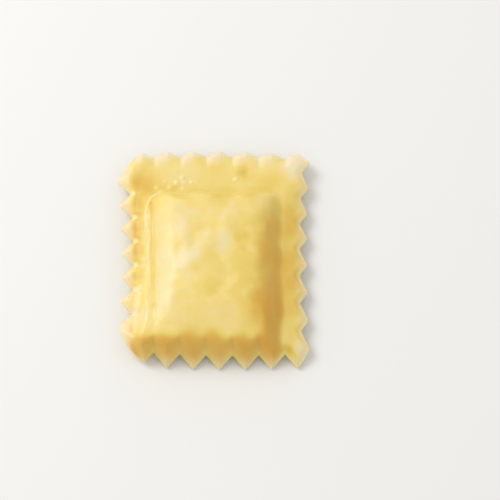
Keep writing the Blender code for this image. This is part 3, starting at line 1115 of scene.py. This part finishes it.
# %% A wire that can be added and multiplied
class Wire:
    """One output socket of a material's node tree."""

    def __init__(self, tree, socket=None):
        self.tree = tree
        self.socket = socket

    def node(self, kind, inputs=None, output=0, **settings):
        """Any node: its settings are set first, then the values or links of its sockets."""
        made = self.tree.nodes.new(kind)
        for name, value in settings.items():
            if name == "stops":
                set_stops(made.color_ramp, value)
            else:
                setattr(made, name, value)
        for name, value in (inputs or {}).items():
            if isinstance(value, Wire):
                self.tree.links.new(value.socket, made.inputs[name])
            else:
                made.inputs[name].default_value = value
        return Wire(self.tree, made.outputs[output])

    def maths(self, operation, first, second):
        return self.node("ShaderNodeMath", {0: first, 1: second}, operation=operation)

    def __add__(self, other):
        return self.maths("ADD", self, other)

    def __sub__(self, other):
        return self.maths("SUBTRACT", self, other)

    def __mul__(self, other):
        return self.maths("MULTIPLY", self, other)

    def __rsub__(self, other):
        return self.maths("SUBTRACT", other, self)

    __radd__ = __add__
    __rmul__ = __mul__

    def between(self, low, high):
        """Rises from 0 to 1 as this value goes from low to high."""
        inputs = {0: self, 1: low, 2: high}
        return self.node("ShaderNodeMapRange", inputs, interpolation_type="SMOOTHSTEP")

    def blend(self, first, second):
        """A colour that goes from first to second as this value goes from 0 to 1."""
        return self.node("ShaderNodeMix", {0: self, 6: first, 7: second}, output=2, data_type="RGBA")


def set_stops(ramp, stops):
    while len(ramp.elements) < len(stops):
        ramp.elements.new(1.0)
    for element, (place, colour) in zip(ramp.elements, stops):
        element.position = place
        element.color = colour


print("besides sums, a wire can:", [name for name in vars(Wire) if not name.startswith("__")])

# %% [markdown]
# ## The colour of boiled egg pasta
#
# Fresh egg pasta is a warm yellow, which deepens to amber and pales to cream. One number, the tone,
# runs along a ramp of those colours: the mesh brings most of it, painted shade and light included,
# and noise adds the mottles and flecks that no formula would give. Where the sheets are squeezed
# thin at the cut, and where the far lobes get their painted sheen, the colour is blended with a
# pale cream.
#
# Over the filling it is mottled more, because the filling touches the sheet in some places and not
# in others. All patterns are noise on the object's own coordinates, so they stay put on every side.

# %% Colours
TONES = [
    (0.00, (0.75, 0.42, 0.055, 1.0)),
    (0.25, (0.80, 0.52, 0.095, 1.0)),
    (0.40, (0.86, 0.66, 0.165, 1.0)),
    (0.52, (0.93, 0.73, 0.25, 1.0)),
    (0.75, (0.94, 0.79, 0.44, 1.0)),
    (1.00, (0.96, 0.83, 0.58, 1.0)),
]
# the pale cream of squeezed dough, which also paints the sheen on the far lobes
PALE_EDGE_AND_SHEEN = (0.95, 0.77, 0.55, 1.0)
MOTTLE_STRENGTH = 0.6
PATCH_STRENGTH = 0.22
FLECK_STRENGTH = 0.06
TONE_SHIFT = 0.06


def cloud(place, size, detail, distortion=0.0):
    """Noise with patches of about this size in millimetres."""
    inputs = {"Vector": place, "Scale": 1.0 / size, "Detail": detail, "Distortion": distortion}
    return place.node("ShaderNodeTexNoise", inputs)


def dough_colour(place):
    thin, filled, tone = (
        place.node("ShaderNodeAttribute", output="Fac", attribute_name=name)
        for name in ("thin", "filled", "tone")
    )
    mottle = cloud(place, 8.0, detail=1.5, distortion=0.4) - 0.5
    patches = filled * cloud(place, 4.0, detail=1.0).between(0.44, 0.72)
    flecks = cloud(place, 0.7, detail=3.0) - 0.5
    noises = mottle * MOTTLE_STRENGTH + patches * PATCH_STRENGTH + flecks * FLECK_STRENGTH
    tone = tone + noises + TONE_SHIFT
    colour = place.node("ShaderNodeValToRGB", {"Fac": 0.5 + tone * 0.5}, stops=TONES)
    # The pale cream marks squeezed dough and paints a sheen on the lit half of each far lobe.
    return thin.blend(colour, PALE_EDGE_AND_SHEEN)


print("the ramp has", len(TONES), "colours, from amber to cream")

# %% [markdown]
# ## The skin of the pasta
#
# Boiled pasta is moist, and its gloss comes in patches: where the noise says that it is wet, the
# skin is smoother and its clear coat is stronger. A little light goes into the dough and comes out
# again, warmer than it went in, which is what makes it look soft. The grain of the flour is finer
# than the mesh, so it is left to a bump.

# %% The finish
ROUGHNESS = 0.46
WET_SMOOTHNESS = 0.10
GRAIN_ROUGHNESS = 0.08
COAT = 0.10
WET_COAT = 0.18
GRAIN_RELIEF = 0.05
DIMPLE_RELIEF = 0.12
RELIEF_STRENGTH = 0.6
ALL_OVER = {
    "Coat Roughness": 0.16,
    "Subsurface Weight": 0.6,
    "Subsurface Radius": (1.0, 0.50, 0.15),
    "Subsurface Scale": 2.2 * MM,
    "IOR": 1.42,
}


def pasta_material():
    material = bpy.data.materials.new("egg_pasta")
    material.use_nodes = True
    tree = material.node_tree
    coordinates = Wire(tree).node("ShaderNodeTexCoord", output="Object")
    to_millimetres = {0: coordinates, 1: (1 / MM,) * 3}
    place = coordinates.node("ShaderNodeVectorMath", to_millimetres, operation="MULTIPLY")
    wetness = cloud(place, 5.0, detail=2.0).between(0.35, 0.65)
    grain = cloud(place, 0.45, detail=4.0)
    relief = grain * GRAIN_RELIEF + cloud(place, 1.6, detail=2.0) * DIMPLE_RELIEF
    bump = {"Height": relief, "Distance": MM, "Strength": RELIEF_STRENGTH}
    varied = {
        "Base Color": dough_colour(place),
        "Roughness": ROUGHNESS - wetness * WET_SMOOTHNESS + grain * GRAIN_ROUGHNESS,
        "Coat Weight": COAT + wetness * WET_COAT,
        "Normal": place.node("ShaderNodeBump", bump),
    }
    sockets = tree.nodes["Principled BSDF"].inputs
    for name, wire in varied.items():
        tree.links.new(wire.socket, sockets[name])
    for name, value in ALL_OVER.items():
        sockets[name].default_value = value
    return material


dough_mesh.materials.append(pasta_material())
print("finish:", raviolo.active_material.name)

# %% [markdown]
# ## Table, light and camera
#
# Food on white is lit softly: one large lamp from the upper left gives the pillow its shape, and a
# bright room fills the shadows. The camera looks down steeply through a long lens.

# %% Table
TABLE_SIZE = 1.2
TABLE_GAP = 0.02 * MM
TABLE_COLOUR = (0.92, 0.92, 0.91, 1.0)
TABLE_ROUGHNESS = 0.55


def table_material():
    material = bpy.data.materials.new("white_table")
    material.use_nodes = True
    shader = material.node_tree.nodes["Principled BSDF"]
    shader.inputs["Base Color"].default_value = TABLE_COLOUR
    shader.inputs["Roughness"].default_value = TABLE_ROUGHNESS
    return material


def table():
    sheet = bmesh.new()
    bmesh.ops.create_grid(sheet, x_segments=1, y_segments=1, size=TABLE_SIZE / 2)
    bmesh.ops.translate(sheet, verts=sheet.verts, vec=(0.0, 0.0, solid_low.z - TABLE_GAP))
    mesh = bpy.data.meshes.new("table")
    sheet.to_mesh(mesh)
    sheet.free()
    mesh.materials.append(table_material())
    made = bpy.data.objects.new("table", mesh)
    bpy.context.scene.collection.objects.link(made)
    return made


table()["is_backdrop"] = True
print("table:", TABLE_SIZE, "m square")

# %% Light
ROOM_COLOUR = (1.0, 0.99, 0.97, 1.0)
ROOM_BRIGHTNESS = 0.705
KEY_SIZE = 0.42
KEY_PLACE = Vector((-0.43, 0.27, 0.55))
KEY_POWER = 2.22
KEY_COLOUR = (1.0, 0.985, 0.96)


def aim(thing, target):
    thing.rotation_euler = (target - thing.location).to_track_quat("-Z", "Y").to_euler()


def room_light():
    world = bpy.data.worlds.new("bright_room")
    world.use_nodes = True
    world.node_tree.nodes["Background"].inputs["Color"].default_value = ROOM_COLOUR
    world.node_tree.nodes["Background"].inputs["Strength"].default_value = ROOM_BRIGHTNESS
    bpy.context.scene.world = world


def key_light():
    lamp = bpy.data.lights.new("key", "AREA")
    lamp.shape = "DISK"
    lamp.size = KEY_SIZE
    lamp.energy = KEY_POWER
    lamp.color = KEY_COLOUR
    made = bpy.data.objects.new("key", lamp)
    made.location = KEY_PLACE
    aim(made, Vector((0.0, 0.0, 0.0)))
    bpy.context.scene.collection.objects.link(made)


room_light()
key_light()
bpy.context.scene.view_settings.view_transform = "Standard"
print("key lamp:", round(KEY_PLACE.length, 2), "m away")

# %% Camera
VIEW_ELEVATION = math.radians(70.0)
VIEW_WIDTH = 0.1185
LENS = 180.0
SENSOR = 36.0
VIEW_TARGET = Vector((8.7, 1.3, 4.0)) * MM


def long_lens():
    camera = bpy.data.cameras.new("camera")
    camera.lens = LENS
    camera.sensor_width = SENSOR
    made = bpy.data.objects.new("camera", camera)
    distance = VIEW_WIDTH * LENS / SENSOR
    back = Vector((0.0, -math.cos(VIEW_ELEVATION), math.sin(VIEW_ELEVATION)))
    made.location = VIEW_TARGET + back * distance
    aim(made, VIEW_TARGET)
    bpy.context.scene.collection.objects.link(made)
    bpy.context.scene.camera = made
    return distance


print("camera distance:", round(long_lens(), 3), "m")

# %% [markdown]
# ## A last look at the size
#
# The finished raviolo has to stay in the solid's box. Both boxes are written down side by side.

# %% Sizes
shown_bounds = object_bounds()
boxes = {"solid": solid_bounds, "shown": shown_bounds}
for name, (low, high) in boxes.items():
    print(name, [round(size / MM, 2) for size in high - low], "mm")
